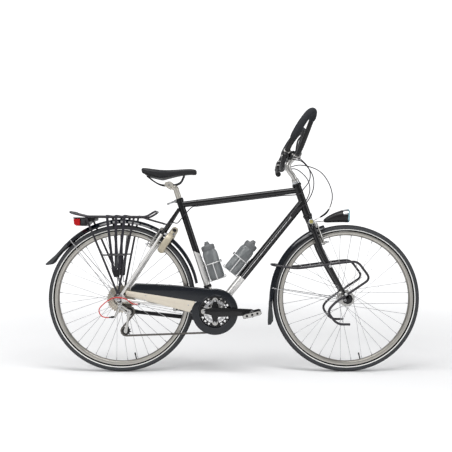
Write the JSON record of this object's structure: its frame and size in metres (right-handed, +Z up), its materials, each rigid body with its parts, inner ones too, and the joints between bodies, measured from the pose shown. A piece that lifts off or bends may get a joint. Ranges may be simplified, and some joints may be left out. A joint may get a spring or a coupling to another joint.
{
  "type": "touring bicycle",
  "caption": "Diamond-frame touring bicycle with butterfly bars, derailleur gears, chain guard, mudguards, rear rack, front low rider, frame lock, lights, bottles and kickstand.",
  "frame": {"origin": "on the floor, in the middle of the bicycle's length and width", "axes": "+X forward, +Y to the rider's left, +Z up; the drive side is at negative Y"},
  "size_m": [1.76, 0.6054, 1.2012],
  "materials": {
    "black_paint": "gloss enamel over welded tube",
    "rack_paint": "satin powder coat",
    "alloy": "satin anodised",
    "dark_alloy": "black anodised",
    "steel": "plated, slightly oily",
    "tyre": "matt rubber with tread",
    "strap_rubber": "matt woven elastic",
    "foam": "closed-cell foam",
    "saddle_cover": "smooth cover over padding",
    "black_plastic": "moulded, satin",
    "pale_plastic": "moulded, satin",
    "red_lens": "clear coloured lens",
    "bottle_plastic": "soft translucent",
    "cable_housing": "satin housing",
    "red_housing": "satin housing"
  },
  "bodies": {
    "main_frame": {"frame": "black_paint", "rear_mudguard": "black_plastic", "rear_rack": "rack_paint", "rack_straps": "strap_rubber", "rear_light": "red_lens", "lock_housing": "pale_plastic", "chain_guard": "black_plastic", "chain_guard_plate": "pale_plastic", "bottle_cage_seat_tube": "dark_alloy", "bottle_cage_down_tube": "dark_alloy", "rear_derailleur": "alloy", "front_derailleur": "alloy", "rear_axle": "steel", "chain": "steel", "rear_brake_cable": "cable_housing", "rear_gear_cable": "cable_housing", "derailleur_housing": "red_housing", "front_gear_cable": "cable_housing"},
    "seat": {"seatpost": "alloy", "saddle_rails": "steel", "saddle": "saddle_cover"},
    "steering": {"fork": "black_paint", "front_axle": "steel", "front_mudguard": "black_plastic", "headlight": "black_plastic", "lowrider": "rack_paint", "stem": "alloy", "handlebar": "dark_alloy", "grip_right": "foam", "grip_left": "foam", "control_right": "black_plastic", "control_left": "black_plastic", "front_brake_cable": "cable_housing"},
    "front_wheel": {"front_hub_spokes": "alloy", "front_rim": "alloy", "front_tyre": "tyre"},
    "rear_wheel": {"rear_hub_spokes": "alloy", "rear_rim": "alloy", "rear_tyre": "tyre"},
    "sprockets": {"cassette": "steel"},
    "cranks": {"chainrings": "dark_alloy", "crank_right": "dark_alloy", "crank_left": "dark_alloy"},
    "right_pedal": {"pedal_right": "dark_alloy"},
    "left_pedal": {"pedal_left": "dark_alloy"},
    "kickstand": {"kickstand_leg": "dark_alloy"},
    "lock_bar": {"lock_bolt": "steel"},
    "chain_tensioner": {"derailleur_cage": "alloy"},
    "upper_pulley": {"guide_pulley": "black_plastic"},
    "lower_pulley": {"tension_pulley": "black_plastic"},
    "right_brake_lever": {"brake_lever_right": "dark_alloy"},
    "left_brake_lever": {"brake_lever_left": "dark_alloy"},
    "right_shifter": {"shifter_lever_right": "black_plastic"},
    "left_shifter": {"shifter_lever_left": "black_plastic"},
    "front_left_brake_arm": {"front_brake_arm_left": "alloy"},
    "front_right_brake_arm": {"front_brake_arm_right": "alloy"},
    "rear_left_brake_arm": {"rear_brake_arm_left": "alloy"},
    "rear_right_brake_arm": {"rear_brake_arm_right": "alloy"},
    "seat_tube_bottle": {"bottle_seat_tube": "bottle_plastic"},
    "down_tube_bottle": {"bottle_down_tube": "bottle_plastic"}
  },
  "joints": [
    {"name": "steering_turn", "type": "hinge", "parent": "main_frame", "child": "steering", "pos_m": [0.34826, 0, 0.7456], "axis": [-0.3305, 0, 0.9438], "range_deg": [-50, 50], "deforming": ["rear_brake_cable", "rear_gear_cable", "front_gear_cable", "front_brake_cable"]},
    {"name": "front_wheel_spin", "type": "hinge", "parent": "steering", "child": "front_wheel", "pos_m": [0.532, 0, 0.348], "axis": [0, 1, 0], "continuous": true},
    {"name": "rear_wheel_spin", "type": "hinge", "parent": "main_frame", "child": "rear_wheel", "pos_m": [-0.532, 0, 0.348], "axis": [0, 1, 0], "continuous": true},
    {"name": "crank_turn", "type": "hinge", "parent": "main_frame", "child": "cranks", "pos_m": [-0.08777, 0, 0.29], "axis": [0, 1, 0], "continuous": true, "deforming": ["chain"]},
    {"name": "sprocket_turn", "type": "hinge", "parent": "main_frame", "child": "sprockets", "pos_m": [-0.532, 0, 0.348], "axis": [0, 1, 0], "continuous": true},
    {"name": "right_pedal_turn", "type": "hinge", "parent": "cranks", "child": "right_pedal", "pos_m": [0.08223, -0.131, 0.29], "axis": [0, 1, 0], "continuous": true},
    {"name": "left_pedal_turn", "type": "hinge", "parent": "cranks", "child": "left_pedal", "pos_m": [-0.25777, 0.131, 0.29], "axis": [0, 1, 0], "continuous": true},
    {"name": "chain_tensioner_swing", "type": "hinge", "parent": "main_frame", "child": "chain_tensioner", "pos_m": [-0.487, -0.054, 0.29], "axis": [0, -1, 0], "range_deg": [0, 35], "stiffness_Nm_per_rad": 0.5, "springref_deg": -28.65, "deforming": ["chain"]},
    {"name": "upper_pulley_turn", "type": "hinge", "parent": "chain_tensioner", "child": "upper_pulley", "pos_m": [-0.487, -0.054, 0.29], "axis": [0, 1, 0], "continuous": true},
    {"name": "lower_pulley_turn", "type": "hinge", "parent": "chain_tensioner", "child": "lower_pulley", "pos_m": [-0.50311, -0.054, 0.20044], "axis": [0, 1, 0], "continuous": true},
    {"name": "seatpost_slide", "type": "slide", "parent": "main_frame", "child": "seat", "axis": [-0.3107, 0, 0.9505], "range_m": [-0.03, 0.05]},
    {"name": "kickstand_swing", "type": "hinge", "parent": "main_frame", "child": "kickstand", "pos_m": [-0.18185, 0.048, 0.24296], "axis": [0.2003, -0.9717, -0.1252], "range_deg": [0, 105]},
    {"name": "lock_bolt_slide_round", "type": "hinge", "parent": "main_frame", "child": "lock_bar", "pos_m": [-0.32283, 0, 0.60661], "axis": [-0.8373, 0, 0.5468], "range_deg": [0, 78], "stiffness_Nm_per_rad": 0.05, "springref_deg": -28.65},
    {"name": "right_brake_lever_pull", "type": "hinge", "parent": "steering", "child": "right_brake_lever", "pos_m": [0.25898, -0.23192, 1.00556], "axis": [-0.3068, -0.7144, -0.6289], "range_deg": [0, 9], "stiffness_Nm_per_rad": 2, "springref_deg": -5.73},
    {"name": "left_brake_lever_pull", "type": "hinge", "parent": "steering", "child": "left_brake_lever", "pos_m": [0.25898, 0.23192, 1.00556], "axis": [0.3068, -0.7144, 0.6289], "range_deg": [0, 9], "stiffness_Nm_per_rad": 2, "springref_deg": -5.73},
    {"name": "right_shifter_push", "type": "hinge", "parent": "steering", "child": "right_shifter", "pos_m": [0.22317, -0.23462, 0.99099], "axis": [0.8988, 0, -0.4384], "range_deg": [0, 25], "stiffness_Nm_per_rad": 0.1, "springref_deg": -17.19},
    {"name": "left_shifter_push", "type": "hinge", "parent": "steering", "child": "left_shifter", "pos_m": [0.22317, 0.23462, 0.99099], "axis": [-0.8988, 0, 0.4384], "range_deg": [0, 25], "stiffness_Nm_per_rad": 0.1, "springref_deg": -17.19},
    {"name": "front_left_brake_close", "type": "hinge", "parent": "steering", "child": "front_left_brake_arm", "pos_m": [0.39933, 0.036, 0.59976], "axis": [0.9438, 0, 0.3305], "range_deg": [0, 2.5]},
    {"name": "front_right_brake_close", "type": "hinge", "parent": "steering", "child": "front_right_brake_arm", "pos_m": [0.39933, -0.036, 0.59976], "axis": [-0.9438, 0, -0.3305], "range_deg": [0, 2.5]},
    {"name": "rear_left_brake_close", "type": "hinge", "parent": "main_frame", "child": "rear_left_brake_arm", "pos_m": [-0.3817, 0.036, 0.58598], "axis": [0.8373, 0, -0.5468], "range_deg": [0, 2.5]},
    {"name": "rear_right_brake_close", "type": "hinge", "parent": "main_frame", "child": "rear_right_brake_arm", "pos_m": [-0.3817, -0.036, 0.58598], "axis": [-0.8373, 0, 0.5468], "range_deg": [0, 2.5]},
    {"name": "seat_tube_bottle_out", "type": "slide", "parent": "main_frame", "child": "seat_tube_bottle", "axis": [-0.3107, 0, 0.9505], "range_m": [0, 0.12]},
    {"name": "down_tube_bottle_out", "type": "slide", "parent": "main_frame", "child": "down_tube_bottle", "axis": [0.6286, 0, 0.7777], "range_m": [0, 0.12]}
  ],
  "couplings": [
    {"joint": "sprocket_turn", "follows": "crank_turn", "ratio": 3.6923},
    {"joint": "lower_pulley_turn", "follows": "crank_turn", "ratio": 4.3636},
    {"joint": "upper_pulley_turn", "follows": "crank_turn", "ratio": -4.3636},
    {"joint": "front_left_brake_close", "follows": "left_brake_lever_pull", "ratio": 0.2777},
    {"joint": "front_right_brake_close", "follows": "left_brake_lever_pull", "ratio": 0.2777},
    {"joint": "rear_left_brake_close", "follows": "right_brake_lever_pull", "ratio": 0.2777},
    {"joint": "rear_right_brake_close", "follows": "right_brake_lever_pull", "ratio": 0.2777}
  ]
}
